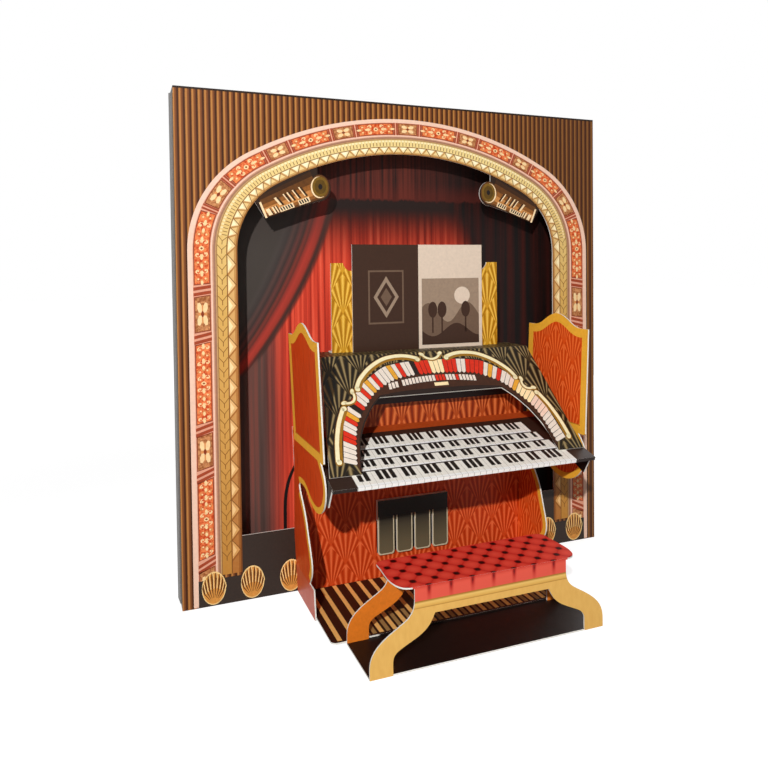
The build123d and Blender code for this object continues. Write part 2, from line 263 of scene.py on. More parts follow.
class Sheet:
    """One flat face of a solid: its triangles, its edge loops and a place to print on.

    across and up are the face's own axes and out is where it looks. Points on it are (across, up)
    from the origin.
    """

    def __init__(self, node, slot, origin, across, up, out=None):
        self.slot = slot
        self.origin = Vector(origin)
        self.across = Vector(across).normalized()
        self.up = Vector(up).normalized()
        self.out = Vector(out).normalized() if out else self.across.cross(self.up)
        self.turned = self.across.cross(self.up).dot(self.out) < 0
        self.triangles = []
        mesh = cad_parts[node].data
        mesh.calc_loop_triangles()
        for triangle in mesh.loop_triangles:
            corners = [mesh.vertices[i].co / MM for i in triangle.vertices]
            offs = [abs((c - self.origin).dot(self.out)) for c in corners]
            if max(offs) < 0.03 and triangle.normal.dot(self.out) > 0.99:
                self.triangles.append(corners)
        if not self.triangles:
            raise ValueError(f"no flat face of {node} there")

    def at(self, across, up, layer):
        """Point in space over a place on the face."""
        lift = self.out * (LIFT * (layer + 1))
        return self.origin + self.across * across + self.up * up + lift

    def flat(self, point):
        """(across, up) of a point in space."""
        from_origin = point - self.origin
        return from_origin.dot(self.across), from_origin.dot(self.up)

    def base(self, name, material):
        """The whole face in one print."""
        points = []
        faces = []
        for corners in self.triangles:
            faces.append(tuple(range(len(points), len(points) + 3)))
            points.extend(c + self.out * LIFT for c in corners)
        return new_piece(name, points, faces, [material], [0] * len(faces))

    def loops(self):
        """Edge loops as (across, up) points, each with the face on its left seen from outside."""
        spots = {}
        steps = {}
        for corners in self.triangles:
            keys = [tuple(round(c, 3) for c in corner) for corner in corners]
            spots.update(zip(keys, corners))
            for a, b in zip(keys, keys[1:] + keys[:1]):
                if (b, a) in steps:
                    del steps[(b, a)]
                else:
                    steps[(a, b)] = True
        after = {a: b for a, b in steps}
        found = []
        while after:
            start, here = after.popitem()
            loop = [start]
            while here != start:
                loop.append(here)
                here = after.pop(here)
            found.append([self.flat(spots[k]) for k in loop])
        return found


def front_sheet(node, slot, y=None):
    """Upright face that looks forward, at the front of its solid unless a place is given."""
    return Sheet(node, slot, (0, lowest(node, "y") if y is None else y, 0), (1, 0, 0), (0, 0, 1))


def top_sheet(node, slot, y, z):
    """Level face that looks up, with its places counted from y."""
    return Sheet(node, slot, (0, y, z), (1, 0, 0), (0, 1, 0))


def side_sheet(node, slot, x, way):
    """Upright face at x that looks to the left (-1) or to the right (1)."""
    return Sheet(node, slot, (x, panel_y, 0), (0, way, 0), (0, 0, 1))


def turned(u, v, angle):
    """Flat place turned about the origin."""
    return u * math.cos(angle) - v * math.sin(angle), u * math.sin(angle) + v * math.cos(angle)


class Print:
    """Flat printed shapes on a sheet, gathered into one piece."""

    def __init__(self, name, sheet):
        self.name = name
        self.sheet = sheet
        self.points = []
        self.faces = []
        self.used = []
        self.indices = []

    def shape(self, colour, outline, layer=1):
        """One shape of a named ink, with its outline as (across, up) points."""
        pairs = list(zip(outline, outline[1:] + outline[:1]))
        area = sum(a[0] * b[1] - a[1] * b[0] for a, b in pairs)
        face = list(range(len(self.points), len(self.points) + len(outline)))
        if (area < 0) != self.sheet.turned:
            face.reverse()
        self.points.extend(self.sheet.at(u, v, layer) for u, v in outline)
        self.faces.append(face)
        if colour not in self.used:
            self.used.append(colour)
        self.indices.append(self.used.index(colour))

    def strip(self, colour, first, second, layer=1):
        """Run of four-cornered shapes between two lines of points."""
        for a, b, c, d in zip(first, first[1:], second[1:], second):
            self.shape(colour, [a, b, c, d], layer)

    def box(self, colour, left, low, right, high, layer=1):
        """Upright rectangle."""
        self.shape(colour, [(left, low), (right, low), (right, high), (left, high)], layer)

    def round(self, colour, centre, radius_across, radius_up, layer=1, corners=14, turn=0.0):
        """Ellipse, turned by an angle."""
        outline = []
        for i in range(corners):
            angle = 2 * math.pi * i / corners
            u, v = turned(radius_across * math.cos(angle), radius_up * math.sin(angle), turn)
            outline.append((centre[0] + u, centre[1] + v))
        self.shape(colour, outline, layer)

    def edging(self, colour, width, keep, layer=1):
        """Band of one width along the sheet's edge, where keep(across, up) is true."""
        side = -1 if self.sheet.turned else 1
        for loop in self.sheet.loops():
            inner = []
            for before, here, after in zip(loop[-1:] + loop[:-1], loop, loop[1:] + loop[:1]):
                one = Vector(here) - Vector(before)
                two = Vector(after) - Vector(here)
                one = Vector((-one.y, one.x)).normalized() * side
                two = Vector((-two.y, two.x)).normalized() * side
                turn = (one + two) / max(0.35, 1 + one.dot(two))
                inner.append(tuple(Vector(here) + turn * width))
            for a, b, c, d in zip(loop, loop[1:] + loop[:1], inner[1:] + inner[:1], inner):
                if keep((a[0] + b[0]) / 2, (a[1] + b[1]) / 2):
                    self.shape(colour, [a, b, c, d], layer)

    def done(self):
        """The piece, once all its shapes are laid."""
        materials = [inks[name] for name in self.used]
        return new_piece(self.name, self.points, self.faces, materials, self.indices)


def span(low, high, count):
    """Evenly spaced values, both ends included."""
    return [low + (high - low) * i / (count - 1) for i in range(count)]


# Plain card for the solids, seen on cut edges and on unprinted sides
paint = Paint("card_core", 0.75)
core = paint.finish(paint.mix(paint.noise(2.5, 2.5, 2.5, 4.0), (220, 216, 206), (240, 237, 230)))
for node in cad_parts.values():
    for slot in node.material_slots:
        slot.material = core
ink("black_ink", (22, 15, 12), 0.3)


def fan_pattern(paint, across, up, colours, pitch, row):
    """Rows of fans like overlapping scales, with ribs that spread from the foot of each fan.

    The colours are those of the grooves, of the ridges and of the plain foot.
    """
    groove, ridge, plain = colours
    ribs_per_radian = 5.2
    level = up / row
    rise = level.fraction()
    odd = (level.run("FLOOR") * 0.5).fraction() * 2.0
    front = (across / pitch + (1.0 - odd) * 0.5 + 0.5).fraction() - 0.5
    behind = (across / pitch + odd * 0.5 + 0.5).fraction() - 0.5
    edge = (1.0 - rise.run("POWER", 1.3)) * 0.5
    is_front = abs(front).run("LESS_THAN", edge)
    spread = is_front.choose(behind, front) * pitch
    height = (rise + is_front) * row
    angle = spread.run("ARCTAN2", height + 0.08 * row)
    ribs = (angle * ribs_per_radian + 0.5).fraction()
    ridges = abs(ribs - 0.5) * 2.0
    fade = height.smooth(0.2 * row, 0.6 * row)
    rib_colour = paint.ramp(ridges, (0.12, ridge), (0.46, plain), (0.82, groove))
    return paint.mix(fade, plain, rib_colour)


def fan_print(name, places, colours, pitch=10.3, row=6.2):
    """Whole material of fans, where places(paint) gives the (across, up) fields of its face."""
    paint = Paint(name)
    return paint.finish(fan_pattern(paint, *places(paint), colours, pitch, row))


# Stage front: upright slats, with the arch print over them
stage = front_sheet("proscenium", "stage_print")
slat_pitch = 1.94
tongue_low = 112.0  # the arch's tongues lie above this height

paint = Paint("slats")
paint.colour = paint.ramp(
    (paint.x / slat_pitch).fraction(),
    (0.0, (46, 18, 2)),
    (0.12, (74, 36, 8)),
    (0.24, (184, 122, 60)),
    (0.4, (194, 132, 70)),
    (0.55, (134, 78, 38)),
    (0.8, (100, 54, 24)),
    (0.92, (56, 24, 4)),
    (1.0, (42, 16, 2)),
)
# Painted shade: the slats darken towards the right edge, where less light falls on the stage front
paint.lay(paint.x.smooth(0.0, panel_half) * 0.5, (38, 15, 4))
paint.lay(paint.noise(2.0, 1.0, 0.12) * 0.3, (84, 42, 14))
paint.lay(paint.z.smooth(panel_height - 0.8, panel_height - 0.5), (34, 20, 10))
crown_reach = (paint.x * paint.x + (paint.z - crown_centre).run("POWER", 2.0)).run("SQRT")
inside_crown = crown_reach.smooth(crown_radius + 0.1, crown_radius - 0.1)
paint.lay(inside_crown * paint.z.smooth(tongue_low, tongue_low + 1.0), (38, 22, 11))
stage.base("stage_slats", paint.finish(paint.colour))

# The arch print follows a path along the middle of its ornament, measured from the crown
path_offset = 10.0
side_band = 15.5  # width of the print at the sides and at the crown
crown_band = 12.2
haunch_x = opening_half - haunch_radius
spring = crown_centre + math.sqrt((crown_radius - haunch_radius) ** 2 - haunch_x**2)
haunch_turn = math.atan2(haunch_x, spring - crown_centre)
crown_path = (crown_radius + path_offset) * haunch_turn
haunch_path = (haunch_radius + path_offset) * (math.pi / 2 - haunch_turn)


def path_at_height(height):
    """Path distance of a height on the arch's straight sides."""
    return crown_path + haunch_path + spring - height


path_foot = path_at_height(0.3)
moulding_foot = path_at_height(9.5)
side_start = crown_path + haunch_path * 0.75


def band_spot(path, share):
    """Place on the stage at a distance along the arch, and a share of its width from the opening."""
    side = 1 if path >= 0 else -1
    path = min(abs(path), path_foot)
    if path <= crown_path:
        angle = path / (crown_radius + path_offset)
        x = crown_radius * math.sin(angle)
        z = crown_centre + crown_radius * math.cos(angle)
    elif path <= crown_path + haunch_path:
        angle = haunch_turn + (path - crown_path) / (haunch_radius + path_offset)
        x = haunch_x + haunch_radius * math.sin(angle)
        z = spring + haunch_radius * math.cos(angle)
    else:
        angle = math.pi / 2
        x = opening_half
        z = spring - (path - crown_path - haunch_path)
    width = side_band + (crown_band - side_band) * math.cos(angle) ** 2
    return side * (x + math.sin(angle) * width * share), z + math.cos(angle) * width * share


def graded_ink(name, foot_colour, spring_colour, crown_colour):
    """Ink that changes from the foot of the stage over the spring of the arch to its crown."""
    paint = Paint(name)
    rise = paint.z / panel_height + paint.noise(0.9, 0.9, 0.9, 3.0) * 0.16 - 0.08
    colour = paint.ramp(rise, (0.04, foot_colour), (0.58, spring_colour), (0.88, crown_colour))
    inks[name] = paint.finish(colour)


def mottled_ink(name, deep, bright):
    """Ink in soft patches of two colours."""
    paint = Paint(name)
    patches = paint.noise(1.3, 1.3, 1.3, 2.0)
    inks[name] = paint.finish(paint.ramp(patches, (0.36, deep), (0.62, bright)))


ink("salmon", (238, 199, 176), 0.05)
ink("salmon_deep", (222, 158, 130), 0.07)
ink("bar_red", (156, 66, 38), 0.12)
ink("umber", (158, 114, 90), 0.1)
ink("umber_pale", (198, 146, 118), 0.08)
ink("umber_gold", (190, 150, 100), 0.08)
ink("frame_red", (128, 52, 26), 0.12)
ink("leaf_gold", (250, 208, 154), 0.08)
ink("leaf_shade", (216, 144, 84), 0.08)
ink("moulding_line", (126, 80, 34), 0.12)
graded_ink("moulding", (172, 108, 48), (214, 166, 100), (238, 210, 146))
graded_ink("moulding_light", (208, 150, 82), (234, 196, 134), (248, 230, 182))
graded_ink("moulding_leaf", (186, 128, 54), (214, 170, 92), (236, 210, 142))
graded_ink("moulding_glint", (234, 186, 120), (250, 226, 172), (255, 244, 208))
graded_ink("moulding_soft", (146, 88, 36), (176, 118, 60), (198, 148, 84))
graded_ink("moulding_turn", (148, 88, 36), (186, 130, 70), (208, 164, 100))
graded_ink("moulding_edge", (116, 64, 24), (144, 90, 42), (164, 112, 58))
mottled_ink("terracotta", (190, 62, 26), (238, 132, 76))
mottled_ink("panel_gold", (146, 84, 44), (206, 142, 92))
arch = Print("arch_print", stage)

# Rows of the arch print: ink, foot, inner and outer share of the width, and layer
band_rows = (
    ("salmon_deep", path_foot, 0.5, 1.0, 1),
    ("salmon", path_foot, 0.9, 1.0, 2),
    ("salmon", path_foot, 0.51, 0.54, 2),
    ("umber_pale", path_foot, 0.485, 0.51, 2),
    ("umber", path_foot, 0.445, 0.485, 2),
    ("umber_gold", path_foot, 0.42, 0.445, 2),
    ("moulding", moulding_foot, 0.0, 0.21, 1),
    ("moulding_leaf", moulding_foot, 0.21, 0.42, 1),
    ("moulding_line", moulding_foot, 0.203, 0.222, 4),
    ("moulding_line", moulding_foot, 0.41, 0.42, 4),
    ("moulding_turn", moulding_foot, 0.03, 0.07, 2),
    ("moulding_edge", moulding_foot, 0.0, 0.03, 5),
)

# Ornament panels from the crown down: lengths along the path, long ones with leaves between squares
panel_lengths = (3.4, 12.6, 6.6, 12.6, 6.6, 12.6, 8.0, 22.2, 10.8, 24.8, 10.4, 24.4, 11.2)
first_side_panel = 7
arch_gap = 2.4
side_gap = 4.1
panel_inner = 0.575
panel_outer = 0.865
panel_axis = (panel_inner + panel_outer) / 2
panel_rim = 0.32
scroll_reach = 0.072  # share of the width from a panel's stem to the middle of a scroll
petal_turn = 0.785
diamond = [(-1, 0), (-0.6, -0.7), (0, -1), (0.6, -0.7), (1, 0), (0.6, 0.7), (0, 1), (-0.6, 0.7)]
leaf_shape = [(0.12, 0), (0.45, -0.3), (0.8, -0.27), (1.0, 0), (0.8, 0.27), (0.45, 0.3)]


def band_patch(colour, start, end, inner, outer, layer, slant=0.0):
    """Part of the arch band, from one path distance and share to another."""
    count = max(2, int(abs(end - start) / 1.6) + 2)
    line = span(start, end, count)
    near = [band_spot(p, inner) for p in line]
    far = [band_spot(p + slant, outer) for p in line]
    arch.strip(colour, near, far, layer)


def band_stroke(colour, spots, thick, layer):
    """Line of one thickness along the path through (path, share) spots."""
    near = [band_spot(p - thick / 2, w) for p, w in spots]
    far = [band_spot(p + thick / 2, w) for p, w in spots]
    arch.strip(colour, near, far, layer)


def panel_lean(slant, share):
    """How far a slanting panel has moved along the path at a share of the width."""
    return slant * 2 * (share - panel_inner)


def band_mark(colour, outline, path, share, size, layer, slant=0.0):
    """Small shape on the band, with its (along, across) outline scaled to a size."""
    path += panel_lean(slant, share)
    spots = [band_spot(path + size[0] * u, share + size[1] * v) for u, v in outline]
    arch.shape(colour, spots, layer)


def panel_base(colour, start, end, slant):
    """Panel with a dark line round it."""
    rim = panel_rim if end > start else -panel_rim
    lean = panel_lean(slant, panel_outer)
    band_patch("frame_red", start - rim, end + rim, panel_inner - 0.02, panel_outer + 0.02, 3, lean)
    band_patch(colour, start, end, panel_inner, panel_outer, 4, lean)


def scroll(colour, root, step, wing, slant):
    """Curl beside the stem of a long panel."""
    inner = []
    outer = []
    for turn in span(-1.6, 3.6, 10):
        size = 1.0 - 0.13 * (turn + 1.6)
        share = panel_axis + wing * (scroll_reach + 0.066 * size * math.sin(turn))
        path = root + step * (0.32 + 0.42 * size * math.cos(turn)) + panel_lean(slant, share)
        inner.append(band_spot(path, share - 0.014))
        outer.append(band_spot(path, share + 0.014))
    arch.strip(colour, inner, outer, 5)


def leaf_panel(start, end, slant):
    """Long panel: mirrored scrolls along a stem, away from a flower in the middle."""
    panel_base("terracotta", start, end, slant)
    middle = (start + end) / 2
    half = (end - start) / 2
    count = max(2, round(abs(half) / 2.7))
    step = half * 0.95 / count
    for way in (-1, 1):
        for i in range(count):
            root = middle + way * step * (i + 0.35)
            for wing in (-1, 1):
                scroll("leaf_shade" if i % 2 else "leaf_gold", root, way * step, wing, slant)
                eye = root + way * step * 0.3
                eye_share = panel_axis + wing * scroll_reach
                band_mark("leaf_gold", diamond, eye, eye_share, (step * 0.13, 0.02), 6, slant)
            bud = root + way * step * 0.75
            band_mark("leaf_gold", diamond, bud, panel_axis, (step * 0.3, 0.03), 6, slant)
    band_mark("leaf_gold", diamond, middle, panel_axis, (step * 0.3, 0.055), 7, slant)
    band_mark("frame_red", diamond, middle, panel_axis, (step * 0.13, 0.025), 8, slant)


def flower_panel(start, end, slant):
    """Square panel: a four-petalled flower with leaves between its petals."""
    panel_base("panel_gold", start, end, slant)
    middle = (start + end) / 2
    half = (end - start) / 2
    for number in range(8):
        odd = number % 2
        size = 1.12 if odd else 0.72
        petal = [turned(u, v, petal_turn * number) for u, v in leaf_shape]
        petal_ink = "leaf_gold" if odd else "leaf_shade"
        petal_size = (half * 0.8 * size, 0.125 * size)
        band_mark(petal_ink, petal, middle, panel_axis, petal_size, 5 + odd, slant)
    band_mark("frame_red", diamond, middle, panel_axis, (half * 0.2, 0.032), 7, slant)


for side in (-1, 1):
    for colour, foot, inner, outer, layer in band_rows:
        band_patch(colour, 0, side * foot, inner, outer, layer)
for side in (-1, 1):
    reach = 0.0
    for number, length in enumerate(panel_lengths):
        on_side = number >= first_side_panel
        slant = side * (0.8 + 0.45 * (number - first_side_panel)) if on_side else 0.0
        panel_start = side * reach
        panel_end = side * (reach + length)
        if number % 2:
            leaf_panel(panel_start, panel_end, slant)
        elif number:
            flower_panel(panel_start, panel_end, slant)
        elif side == 1:
            flower_panel(-length, length, 0.0)
        gap = side_gap if on_side else arch_gap
        if reach + length + gap < path_foot:
            for share in (0.16, 0.59):
                bar_start = side * (reach + length + gap * share)
                bar_end = side * (reach + length + gap * (share + 0.25))
                band_patch("bar_red", bar_start, bar_end, 0.545, 0.895, 3, slant)
        reach += length + gap

# Gold moulding: a row of leaves and a zigzag, with longer steps down the sides
crown_step = 3.9
side_step = 6.6
moulding_end = 6.0  # no step starts nearer than this to the moulding's foot


def zigzag(start, end):
    """One carved tooth of the zigzag, with a lit and a shaded flank."""
    tip = (start + end) / 2
    inset = (end - start) * 0.2
    tooth = ((start, 0.2), (tip, 0.05), (end, 0.2))
    glint = ((start + inset, 0.19), (tip, 0.11), (end - inset, 0.19))
    arch.shape("moulding_light", [band_spot(p, w) for p, w in tooth], 3)
    arch.shape("moulding_glint", [band_spot(p, w) for p, w in glint], 4)
    band_stroke("moulding_soft", [(end, 0.205), (tip, 0.02)], 0.8, 4)
    band_stroke("moulding_line", [(start, 0.205), (tip, 0.02)], 0.35, 5)


def side_leaf(root, step):
    """Outline of a leaf on the straight sides: a fork and a stem."""
    fork = root + step * 0.26
    for share in (0.225, 0.41):
        band_stroke("moulding_line", [(root, share), (fork, 0.315)], 0.3, 3)
    band_patch("moulding_line", fork, fork + step * 0.2, 0.308, 0.322, 3)


for side in (-1, 1):
    reach = 0.0
    while reach < moulding_foot - moulding_end:
        on_side = reach > side_start
        step = side * (side_step if on_side else crown_step)
        root = side * reach
        zigzag(root, root + step)
        if on_side:
            side_leaf(root, step)
            side_leaf(root + step / 2, step)
        else:
            for i in range(3):
                tick = root + step * (i + 0.5) / 3
                band_stroke("moulding_line", [(tick, 0.24), (tick, 0.34)], 0.25, 3)
                band_mark("moulding_light", diamond, tick, 0.372, (0.5, 0.03), 3)
        reach += abs(step)
arch.done()

# Stage apron with its row of footlight shells
ink("apron_grey", (48, 37, 31), 0.1)
ink("shell_gold", (208, 142, 66))
ink("shell_deep", (96, 52, 18))
ink("shell_light", (246, 206, 138), 0.06)
apron_half = opening_half + side_band * 0.9
apron_top = 8.6
apron_foot = 0.05
shell_centres = (43.9, 56.8, 69.2)
shell_half = 3.8
shell_foot = 0.4
shell_rise = 5.35  # half of the shell's height
shell_grooves = 8
groove_widths = ((0.12, 0.05), (0.45, 0.2), (0.8, 0.3), (1.0, 0.1))
apron = Print("apron_print", stage)
apron.box("apron_grey", -apron_half, apron_foot, apron_half, apron_top, 9)
apron.box("apron_grey", -opening_half, apron_foot, opening_half, sill_height - 0.02, 1)


def shell(middle):
    """Footlight shell: a gold oval with grooves that spread from its foot."""
    heart = shell_foot + shell_rise
    apron.round("shell_light", (middle, heart), shell_half, shell_rise, 10, 28)
    apron.round("shell_gold", (middle, heart - 0.1), shell_half - 0.3, shell_rise - 0.4, 11, 28)
    for lean in span(-0.92, 0.92, shell_grooves):
        root = Vector((middle + lean * 0.7, shell_foot + shell_rise * 0.2))
        angle = lean * 1.35
        rim_spot = Vector((shell_half * math.sin(angle), shell_rise * math.cos(angle))) * 0.93
        along = Vector((middle, heart)) + rim_spot - root
        across = Vector((along.y, -along.x)).normalized()

        def on_groove(share, offset):
            bulge = Vector((lean * 1.1 * math.sin(share * math.pi), 0))
            return tuple(root + along * share + bulge + across * offset)

        groove = [on_groove(share, -half) for share, half in groove_widths]
        groove += [on_groove(share, half) for share, half in groove_widths[::-1]]
        apron.shape("shell_deep", groove, 12)
        glint = [on_groove(share, half + 0.08) for share, half in groove_widths[1:]]
        glint += [on_groove(share, half + 0.34) for share, half in groove_widths[:0:-1]]
        apron.shape("shell_light", glint, 13)


for centre in shell_centres:
    for side in (-1, 1):
        shell(side * centre)
apron.done()

# Spotlights on the two tongues of the arch
ink("brass", (134, 82, 36), 0.25, 0.34)
ink("brass_mid", (92, 55, 23), 0.2, 0.34)
ink("brass_light", (250, 214, 168), 0.06, 0.34)
ink("brass_glow", (188, 126, 68), 0.2, 0.34)
ink("brass_dark", (56, 32, 13), 0.2, 0.34)
ink("lens_rim", (112, 82, 26), 0.2, 0.34)
ink("lens", (84, 60, 16), 0.25, 0.34)
lamp_tail = (51.3, 127.2)  # distance from the middle, and height
lamp_head = (33.2, 134.7)
lens_across = 3.3
lens_up = 4.1
lens_reach = 1.1

# Lens from its rim inwards: size, ink, layer and shift along the barrel
lens_rings = (
    (1.0, "brass_mid", 12, 0.0),
    (0.88, "brass_light", 13, -0.3),
    (0.84, "lens_rim", 14, 0.1),
    (0.6, "lens", 15, 0.15),
    (0.22, "black_ink", 16, 0.15),
)

# Places along the barrel: start and width of each rib, and start, end and number of the vents
upper_ribs = ((5.6, 0.8), (8.8, 0.45), (10.2, 0.5), (12.2, 0.45), (14.6, 0.45))
tail_ribs = ((1.0, 1.3), (3.1, 0.6), (4.2, 0.4))
vent_groups = ((5.0, 10.0, 5), (11.8, 15.8, 4))
lamps = Print("lamp_print", stage)


def spotlight(side):
    """Tapered brass barrel with ribs and vents, and a lens at its head."""
    tail = Vector((side * lamp_tail[0], lamp_tail[1]))
    head = Vector((side * lamp_head[0], lamp_head[1]))
    axis = (head - tail).normalized()
    normal = Vector((-axis.y, axis.x)) * -side
    length = (head - tail).length

    def on_lamp(along, across):
        """Place on the barrel: along from the tail, across towards the arch."""
        swell = 1 + 0.35 * along / length
        return tuple(tail + axis * along + normal * (across * swell))

    def patch(colour, start, end, low, high, layer, rake=0.0):
        corners = ((start, low), (end, low), (end + rake, high), (start + rake, high))
        lamps.shape(colour, [on_lamp(along, across) for along, across in corners], layer)

    patch("brass_dark", 0.0, length, -2.9, 4.4, 6)
    patch("brass_mid", 0.0, length, -2.7, 3.2, 7)
    patch("brass", 0.0, length, -2.2, 1.5, 8)
    patch("brass_glow", 0.0, length, -1.4, 0.2, 9)
    for along, wide in upper_ribs:
        patch("brass_light", along, along + wide, -0.7, 2.0, 10, -1.0)
        patch("brass_dark", along + wide, along + wide + 0.7, -0.9, 1.8, 10, -1.0)
    for along, wide in tail_ribs:
        patch("brass_light", along, along + wide, -2.5, -0.3, 10, -0.4)
        patch("brass_dark", along + wide, along + wide + 0.35, -2.5, -0.3, 10, -0.4)
    patch("brass_light", -0.5, 0.2, -2.9, 2.6, 11)
    for first, last, count in vent_groups:
        patch("brass_light", first, last, -2.6, -1.2, 10)
        for along in span(first + 0.5, last - 0.9, count):
            patch("black_ink", along, along + 0.5, -2.4, -1.3, 11, -0.25)
    for size, colour, layer, shift in lens_rings:
        spot = head + axis * (lens_reach + shift)
        lamps.round(colour, (spot.x, spot.y), lens_across * size, lens_up * size, layer, 24)


for side in (-1, 1):
    spotlight(side)
lamps.done()

# Backdrop: a lit red curtain between dark drapes, under a pelmet
pelmet_hem = 131.2
lit_height = 108.0  # full light below this height
slit_reach = 43.4  # dark slit at the foot of the left drape
slit_top = 42.0
drape_top = 126.0
drape_reach = 26.3  # edge of the left drape at its top
drape_foot = 71.0
drape_width = 16.0  # over which its folds run
right_drape_height = 121.0
right_drape_reach = 25.0  # edge of the right drape at that height

paint = Paint("curtain", 0.6)
folds = paint.noise(0.7, 0.0, 0.01, 3.0)
red = paint.ramp(
    folds, (0.3, (122, 28, 18)), (0.42, (182, 52, 34)), (0.55, (216, 72, 48)), (0.7, (238, 98, 70))
)
paint.colour = paint.mix(paint.z.smooth(lit_height + 22.0, lit_height), (26, 11, 7), red)
gloom = paint.noise(0.5, 0.0, 0.01)
low_drape = paint.ramp(gloom, (0.3, (62, 46, 42)), (0.5, (84, 62, 56)), (0.7, (118, 66, 56)))
paint.lay((-paint.x).smooth(41.0, 51.0), low_drape)

slit_lean = (paint.z - sill_height).run("POWER", 3.0) * 0.00064
slit_side = abs(paint.x + slit_reach - slit_lean)
paint.lay(slit_side.smooth(0.75, 0.45) * paint.z.smooth(slit_top + 2.0, slit_top), (12, 6, 5))

drape_fall = drape_top - paint.z
drape_edge = drape_fall * 0.28 + drape_fall * drape_fall * 0.00525 + drape_reach
drape = -paint.x - drape_edge  # distance inside the drape's edge
drape_fold = drape + paint.noise(0.06, 0.0, 0.03) * 1.2 - 0.6
drape_colour = paint.ramp(
    drape_fold / drape_width,
    (0.0, (56, 30, 25)),
    (0.06, (98, 40, 32)),
    (0.12, (150, 50, 38)),
    (0.22, (166, 54, 42)),
    (0.3, (134, 47, 38)),
    (0.34, (92, 42, 35)),
    (0.4, (114, 47, 38)),
    (0.46, (56, 38, 33)),
    (0.54, (92, 50, 45)),
    (0.62, (54, 41, 38)),
    (0.7, (78, 55, 50)),
    (0.78, (54, 46, 43)),
    (0.9, (64, 56, 52)),
    (1.0, (60, 53, 48)),
)
drape_colour = paint.mix(paint.z.smooth(112.0, 128.0) * 0.5, drape_colour, (50, 40, 36))
paint.lay(drape.smooth(-0.4, 0.4) * paint.z.smooth(drape_foot, drape_foot + 3.0), drape_colour)
edge_shadow = abs(drape).smooth(1.8, 0.4) * paint.z.smooth(drape_foot + 3.0, drape_foot + 9.0)
paint.lay(edge_shadow * 0.85, (56, 36, 30))

dark_folds = paint.noise(0.35, 0.0, 0.008)
dark_red = paint.ramp(dark_folds, (0.4, (8, 2, 1)), (0.74, (54, 13, 6)))
right_drape = paint.x + (paint.z - right_drape_height) * 0.3 - right_drape_reach
paint.lay(right_drape.smooth(-6.0, 6.0), dark_red)

pelmet_folds = paint.noise(0.75, 0.0, 0.02, 1.0)
pelmet = paint.ramp(pelmet_folds, (0.32, (26, 9, 6)), (0.66, (92, 38, 28)))
pelmet = paint.mix(paint.x.smooth(-6.0, 30.0) * 0.85, pelmet, (20, 8, 6))
pelmet = paint.mix(paint.z.smooth(140.0, 133.0) * 0.3, pelmet, (104, 36, 26))
above_hem = paint.z - pelmet_folds * 2.5 - pelmet_hem
paint.lay(above_hem.smooth(-0.6, 0.6), pelmet)
backdrop = front_sheet("backdrop", "curtain_print", backdrop_y)
backdrop.base("curtain_print", paint.finish(paint.colour))

# Console cheeks: grained orange with gold edging outside, fans inside
paint = Paint("cheek_grain")
grain = paint.noise(0.5, 2.6, 0.14, 4.0)
orange = paint.ramp(grain, (0.3, (158, 36, 2)), (0.42, (200, 62, 8)), (0.7, (214, 72, 14)))
plinth = paint.z.smooth(plinth_height + 0.2, plinth_height - 0.2)
cheek_grain = paint.finish(paint.mix(plinth, orange, (198, 84, 54)))
cheek_colours = ((206, 64, 8), (242, 118, 58), (222, 78, 18))
cheek_fans = fan_print("cheek_fans", lambda p: (p.y, p.z), cheek_colours, 9.8)
ink("cheek_gold", (244, 178, 56), 0.06)
ink("cheek_line", (196, 120, 34), 0.1)
wing_foot = wing_base - 0.6
scroll_foot = 10.5


def on_wing(reach, height):
    """Edge of the wing, above the scroll."""
    return height > wing_foot and reach > wing_rear - 0.5


def on_scroll(reach, height):
    """Curved front edge, above the plinth."""
    return scroll_foot < height <= wing_foot and reach > height * 0.18 + 4


def print_cheek(side, word, face):
    """Print and gold trim on the outer or inner face of a splayed cheek."""
    splay_out = math.cos(cheek_splay)
    splay_up = math.sin(cheek_splay)
    turn = 1 if face == "out" else -1
    inset = 0.0 if face == "out" else card
    foot = (side * (cheek_foot_half - inset * splay_out), panel_y, inset * splay_up)
    up = (side * splay_up, 0, splay_out)
    out = (side * turn * splay_out, 0, -turn * splay_up)
    sheet = Sheet(f"{word}_cheek", "console_print", foot, (0, -1, 0), up, out)
    sheet.base(f"{word}_cheek_{face}", cheek_grain if face == "out" else cheek_fans)
    trim = Print(f"{word}_cheek_{face}_trim", sheet)
    trim.edging("cheek_gold", 2.9, on_wing)
    trim.edging("cheek_gold", 1.9, on_scroll)
    trim.box("cheek_gold", wing_rear, wing_base - 0.4, wing_front - 0.3, wing_base + 2.2, 2)
    trim.box("cheek_line", wing_rear + 2.4, wing_base + 2.2, wing_front - 2.6, wing_base + 2.5, 3)
    trim.done()


for side, word in SIDES:
    for face in ("out", "in"):
        print_cheek(side, word, face)

# Kneeboard, with a painted shadow: a black patch behind the swell pedals, seen through the gaps between
# them
knee = front_sheet("kneeboard", "console_print")
knee_colours = ((172, 48, 8), (224, 102, 56), (196, 68, 24))
knee.base("knee_print", fan_print("knee_fans", lambda p: (p.x, p.z), knee_colours, row=7.0))
shade_half = 13.3
shade_low = 9.6
shade_high = 27.4
# Painted shadow behind the swell pedals, in black ink
knee_painted_shadow = Print("knee_painted_shadow", knee)
shade_left = swell_middle - shade_half
shade_right = swell_middle + shade_half
knee_painted_shadow.box("black_ink", shade_left, shade_low, shade_right, shade_high)
knee_painted_shadow.done()

